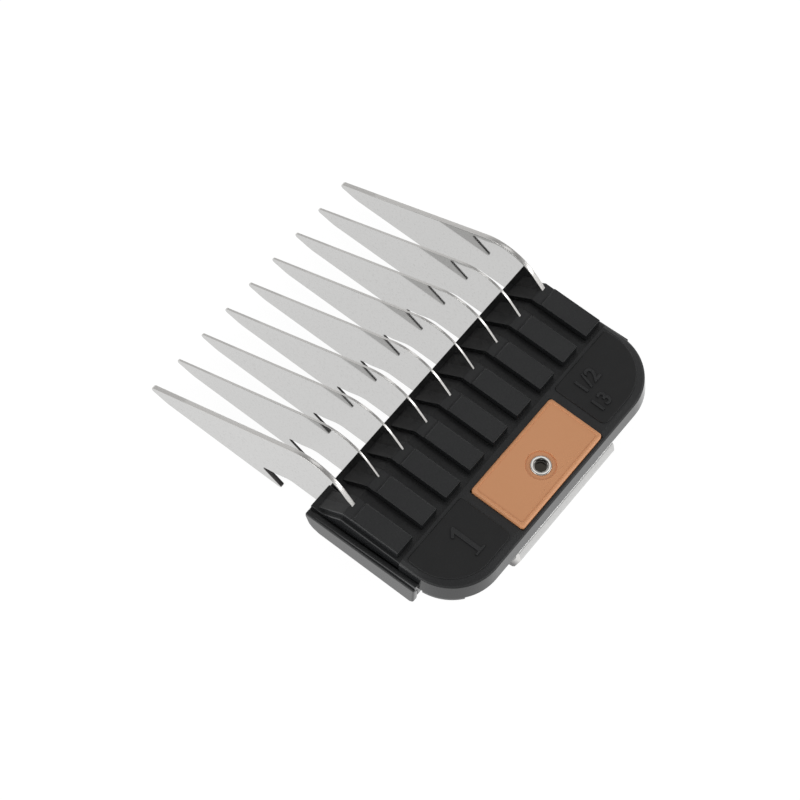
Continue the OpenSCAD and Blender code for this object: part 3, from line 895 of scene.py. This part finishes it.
# %% Raised marks
def raised_text(name, words, size, x, y):
    curve = bpy.data.curves.new(name, "FONT")
    curve.body = words
    curve.size = size
    curve.align_x = "CENTER"
    curve.align_y = "CENTER"
    curve.extrude = 0.1
    curve.bevel_depth = 0.08
    curve.bevel_resolution = 2
    curve.resolution_u = 6
    holder = bpy.data.objects.new(name + "_text", curve)
    bpy.context.scene.collection.objects.link(holder)
    bpy.context.view_layer.update()
    flat = bpy.data.meshes.new_from_object(holder.evaluated_get(bpy.context.evaluated_depsgraph_get()))
    bpy.data.objects.remove(holder)
    marks = bmesh.new()
    marks.from_mesh(flat)
    bmesh.ops.remove_doubles(marks, verts=marks.verts, dist=0.001)
    bmesh.ops.rotate(marks, cent=(0, 0, 0), matrix=Matrix.Rotation(math.radians(180), 3, "Z"),
                     verts=marks.verts)
    bmesh.ops.translate(marks, vec=(x, y, PANEL_TOP), verts=marks.verts)
    finish_piece(name, marks, black_plastic)


ONE = [(-0.38, -2.35), (-1.0, -2.35), (-1.0, -2.75), (1.0, -2.75), (1.0, -2.35), (0.38, -2.35), (0.38, 2.75),
       (-0.1, 2.75), (-1.25, 1.75), (-0.95, 1.35), (-0.38, 1.8)]
ONE_PLACE = (15.7, 23.2)
ONE_SINK = 0.05
ONE_RELIEF = 0.16
one = bmesh.new()
one_face = one.faces.new([one.verts.new((ONE_PLACE[0] - x, ONE_PLACE[1] - y, PANEL_TOP - ONE_SINK))
                          for x, y in ONE])
grown = bmesh.ops.extrude_face_region(one, geom=[one_face])["geom"]
bmesh.ops.translate(one, vec=(0, 0, ONE_SINK + ONE_RELIEF), verts=verts_of(grown))
bmesh.ops.recalc_face_normals(one, faces=one.faces)
upper = [edge for edge in one.edges if all(vert.co.z > PANEL_TOP for vert in edge.verts)]
round_edges(one, [edge for edge in upper if sharp(edge)], 0.09, segments=2)
finish_piece("size_number", one, black_plastic)
raised_text("size_inches", "1/2", 3.3, -15.0, 21.6)
raised_text("size_mm", "13", 3.1, -13.6, 25.2)

# %% [markdown]
# ## The screw and its nut
# The screw has a low head with a soft rim, drawn down edge by edge to the shank. Its socket is a hexagon
# with rounded corners set into the head's top face. The flanged nut under the deck is a turned part, so
# its half profile is spun a full turn.

# %% Screw
HEAD_RADIUS = (screw_high.x - screw_low.x) / 2 / MM
HEAD_TOP = screw_high.z / MM
SHANK_END = screw_low.z / MM
SOCKET_DEPTH = 0.8
SOCKET_RADIUS = 1.16

screw = bmesh.new()
socket = bmesh.ops.create_circle(screw, segments=6, radius=SOCKET_RADIUS, cap_ends=True)["verts"]
bmesh.ops.bevel(screw, geom=socket, offset=0.28, offset_type="OFFSET", segments=4, profile=0.5,
                affect="VERTICES", clamp_overlap=True, material=-1)
bmesh.ops.translate(screw, vec=(0, screw_y, HEAD_TOP), verts=screw.verts)
socket_floor = screw.faces[:]
socket_rim = screw.edges[:]
head_rim = ring_of(screw, HEAD_RADIUS, HEAD_TOP, 48)
grown = bmesh.ops.extrude_face_region(screw, geom=socket_floor)["geom"]
bmesh.ops.delete(screw, geom=socket_floor, context="FACES_ONLY")
bmesh.ops.translate(screw, vec=(0, 0, -SOCKET_DEPTH), verts=verts_of(grown))
bmesh.ops.triangle_fill(screw, use_beauty=True, use_dissolve=False, edges=head_rim + socket_rim,
                        normal=(0, 0, 1))
head_foot, _ = raise_edges(screw, head_rim, RECESS_FLOOR - HEAD_TOP)
neck, neck_verts = raise_edges(screw, head_foot, 0)
bmesh.ops.scale(screw, vec=(1 / HEAD_RADIUS,) * 2 + (1,), space=Matrix.Translation((0, -screw_y, 0)),
                verts=neck_verts)
shank_foot, _ = raise_edges(screw, neck, SHANK_END - RECESS_FLOOR)
bmesh.ops.edgeloop_fill(screw, edges=shank_foot)
bmesh.ops.recalc_face_normals(screw, faces=screw.faces)
round_edges(screw, head_rim, 0.3, segments=5)
round_edges(screw, [edge for edge in socket_rim if edge.is_valid], 0.08, segments=2)
finish_piece("socket_screw", screw, screw_steel, ["tag_screw"])

# %% Sleeve nut
nut_low, nut_high = (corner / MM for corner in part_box("sleeve_nut"))
FLANGE_RADIUS = (nut_high.x - nut_low.x) / 2
FLANGE_TOP = 6.35
NECK_RADIUS = 1.9
BORE_RADIUS = 1.02
NUT_PROFILE = [(BORE_RADIUS, nut_low.z), (FLANGE_RADIUS, nut_low.z), (FLANGE_RADIUS, FLANGE_TOP),
               (NECK_RADIUS, FLANGE_TOP), (NECK_RADIUS, nut_high.z), (BORE_RADIUS, nut_high.z)]
nut = bmesh.new()
profile = nut.faces.new([nut.verts.new((radius, 0, z)) for radius, z in NUT_PROFILE])
profile_edges = profile.edges[:]
bmesh.ops.delete(nut, geom=[profile], context="FACES_ONLY")
bmesh.ops.spin(nut, geom=profile_edges + nut.verts[:], cent=(0, 0, 0), axis=(0, 0, 1), angle=math.tau,
               steps=64, use_merge=True)
bmesh.ops.remove_doubles(nut, verts=nut.verts, dist=0.001)
bmesh.ops.translate(nut, vec=(0, screw_y, 0), verts=nut.verts)
bmesh.ops.recalc_face_normals(nut, faces=nut.faces)
round_edges(nut, [edge for edge in nut.edges if sharp(edge, 60)], 0.08, segments=2)
finish_piece("flanged_sleeve_nut", nut, nut_steel, ["sleeve_nut"])

# %% [markdown]
# ## The latch
# The latch is one bent strip of the same bright sheet. Its flat part slides under the deck on a slot, and
# its rear turns down and then forward into a lip. The CAD solid holds the bend, the slot and the window
# for the spring, so a merged copy gets broken edges.

# %% Latch plate
latch = copy_of_node("latch_plate")
round_edges(latch, [edge for edge in latch.edges if sharp(edge, 40)], 0.06, segments=2)
finish_piece("latch_sheet", latch, latch_steel, ["latch_plate"], body="latch")

# %% [markdown]
# ## The coil spring
# A spring is a circle of wire carried round an axis while it moves along it, and that is exactly what
# spin does when it is given a step along the axis.

# %% Coil spring
WIRE_RADIUS = 0.17
COIL_TURNS = 9
STEPS_PER_TURN = 28
coil_radius = (spring_high.x - spring_low.x) / 2 - WIRE_RADIUS
length = spring_high.y - spring_low.y - 2 * WIRE_RADIUS
spring = bmesh.new()
wire = bmesh.ops.create_circle(spring, segments=12, radius=WIRE_RADIUS, cap_ends=True)["verts"]
for axis in "YZX":
    bmesh.ops.rotate(spring, cent=(0, 0, 0), matrix=Matrix.Rotation(math.radians(90), 3, axis), verts=wire)
bmesh.ops.translate(spring, vec=(coil_radius, 0, 0), verts=wire)
steps = COIL_TURNS * STEPS_PER_TURN
bmesh.ops.spin(spring, geom=spring.verts[:] + spring.edges[:] + spring.faces[:], cent=(0, 0, 0),
               axis=(0, 1, 0), dvec=(0, length / steps, 0), angle=math.tau * COIL_TURNS, steps=steps)
bmesh.ops.translate(spring, vec=(spring_centre.x, spring_low.y + WIRE_RADIUS, spring_centre.z),
                    verts=spring.verts)
bmesh.ops.recalc_face_normals(spring, faces=spring.faces)
coil = finish_piece("coil_spring", spring, spring_steel, ["latch_spring"], body=None,
                    corner=60)
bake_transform(coil)

# %% [markdown]
# ## Floor, light and camera
# The comb lies on a plain white table. The floor glows a little, which keeps it white and lets the steel
# and the glossy walls reflect white, as they do on a light table. Three large soft panels light it
# from above, and the sky is darker straight up, so that the matt black tops stay black.

# %% Floor
floor_mesh = bmesh.new()
bmesh.ops.create_grid(floor_mesh, x_segments=1, y_segments=1, size=1.5)
floor_data = bpy.data.meshes.new("floor")
floor_mesh.to_mesh(floor_data)
floor_mesh.free()
floor = bpy.data.objects.new("floor", floor_data)
bpy.context.scene.collection.objects.link(floor)
floor.location = (0, 0, -0.0003)
table_white = bpy.data.materials.new("table_white")
table_white.use_nodes = True
glowing = table_white.node_tree.nodes["Principled BSDF"]
glowing.inputs["Base Color"].default_value = (0.12, 0.12, 0.12, 1)
glowing.inputs["Roughness"].default_value = 0.9
glowing.inputs["Emission Color"].default_value = (1, 1, 1, 1)
glowing.inputs["Emission Strength"].default_value = 0.95
floor_data.materials.append(table_white)

# %% Sky and lamps
sky = bpy.data.worlds.new("studio")
bpy.context.scene.world = sky
sky.use_nodes = True
sky_nodes = sky.node_tree.nodes
sky_links = sky.node_tree.links
sky_nodes.clear()
direction = sky_nodes.new("ShaderNodeTexCoord")
direction.label = "Direction of view"
direction.location = (-800, 0)
upward = sky_nodes.new("ShaderNodeSeparateXYZ")
upward.label = "Height above the horizon"
upward.location = (-600, 0)
fade = sky_nodes.new("ShaderNodeValToRGB")
fade.label = "Pale low down, dim overhead"
fade.location = (-400, 0)
glow = sky_nodes.new("ShaderNodeBackground")
glow.label = "Sky"
glow.location = (-150, 0)
sky_out = sky_nodes.new("ShaderNodeOutputWorld")
sky_out.label = "World"
sky_out.location = (50, 0)
fade.color_ramp.elements[0].position = 0
fade.color_ramp.elements[0].color = (0.55, 0.55, 0.55, 1)
fade.color_ramp.elements[1].position = 0.85
fade.color_ramp.elements[1].color = (0.27, 0.27, 0.27, 1)
fade.color_ramp.elements.new(0.3).color = (0.78, 0.78, 0.78, 1)
fade.color_ramp.elements.new(0.55).color = (0.5, 0.5, 0.5, 1)
sky_links.new(direction.outputs["Generated"], upward.inputs["Vector"])
sky_links.new(upward.outputs["Z"], fade.inputs["Fac"])
sky_links.new(fade.outputs["Color"], glow.inputs["Color"])
sky_links.new(glow.outputs["Background"], sky_out.inputs["Surface"])


def soft_panel(name, place, size, power):
    lamp = bpy.data.lights.new(name, "AREA")
    lamp.shape = "RECTANGLE"
    lamp.size = size[0]
    lamp.size_y = size[1]
    lamp.energy = power
    holder = bpy.data.objects.new(name, lamp)
    bpy.context.scene.collection.objects.link(holder)
    holder.location = place
    holder.rotation_mode = "QUATERNION"
    holder.rotation_quaternion = Vector(place).to_track_quat("Z", "Y")
    print("lamp", name, power, "W")


soft_panel("top_panel", (-0.33, -0.15, 0.92), (0.45, 0.32), 0.52)
soft_panel("rear_panel", (-0.28, 0.6, 0.35), (0.5, 0.14), 0.9)
soft_panel("left_panel", (0.62, -0.18, 0.32), (0.5, 0.16), 1.1)

# %% Camera
CAMERA_PLACE = (0.16054, 0.11019, 0.39826)
CAMERA_RIGHT = Vector((-0.61901, 0.78476, 0.03133))
CAMERA_UP = Vector((-0.69696, -0.56727, 0.43869))
CAMERA_BACK = Vector((0.36203, 0.24972, 0.89809))
lens = bpy.data.cameras.new("camera")
lens.lens = 135.43
lens.sensor_width = 36
lens.clip_start = 0.01
camera = bpy.data.objects.new("camera", lens)
bpy.context.scene.collection.objects.link(camera)
camera.matrix_world = Matrix.Translation(CAMERA_PLACE) @ Matrix(
    (CAMERA_RIGHT, CAMERA_UP, CAMERA_BACK)).transposed().to_4x4()
bpy.context.scene.camera = camera
bpy.context.scene.view_settings.view_transform = "Standard"
print("camera at", CAMERA_PLACE)
